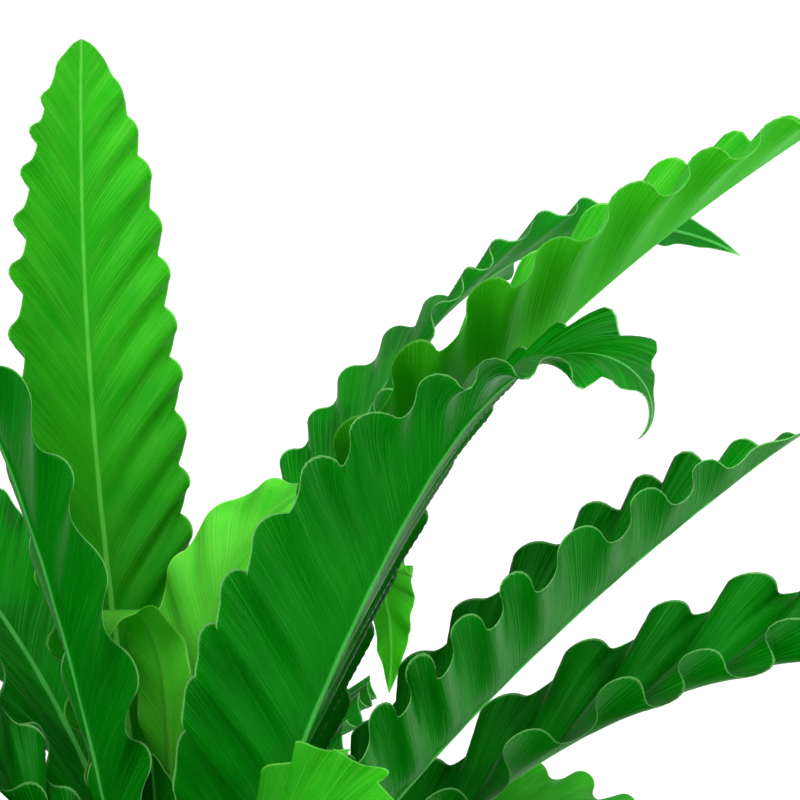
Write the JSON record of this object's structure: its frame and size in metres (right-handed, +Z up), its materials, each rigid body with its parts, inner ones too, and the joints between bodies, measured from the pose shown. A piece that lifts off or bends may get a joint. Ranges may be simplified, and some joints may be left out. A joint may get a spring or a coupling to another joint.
{
  "type": "potted bird's nest fern",
  "caption": "Potted bird's nest fern: a rosette of long wavy fronds on a short rhizome in a plain tapered clay pot.",
  "frame": {"origin": "centre of the pot's flat base", "axes": "+Z up along the pot's axis, +X to the right of a viewer in front of the plant, +Y away from that viewer"},
  "size_m": [0.7168, 0.6705, 0.5674],
  "materials": {
    "clay": "matte",
    "soil": "matte",
    "rhizome": "matte",
    "frond_mature": "satin",
    "frond_bright": "satin",
    "frond_young": "satin"
  },
  "bodies": {
    "root": {"pot": "clay", "potting_soil": "soil", "rhizome": "rhizome", "frond_tall": "frond_bright", "frond_young": "frond_young", "frond_centre": "frond_mature", "frond_bright": "frond_bright", "frond_back": "frond_bright", "frond_right_middle": "frond_mature", "frond_right_low": "frond_mature", "frond_left_front": "frond_mature", "frond_hanging": "frond_bright", "frond_front": "frond_bright", "frond_low_back": "frond_bright", "frond_young_curled": "frond_young", "frond_young_small": "frond_mature", "frond_young_tip": "frond_young", "frond_left_high": "frond_mature", "frond_left_middle": "frond_mature", "frond_left_low": "frond_mature", "frond_front_left": "frond_mature", "frond_front_low": "frond_mature", "frond_front_right": "frond_mature", "frond_right_front": "frond_mature", "frond_back_left": "frond_mature", "frond_back_middle": "frond_mature", "frond_back_low": "frond_mature", "frond_back_right": "frond_mature"}
  },
  "joints": []
}
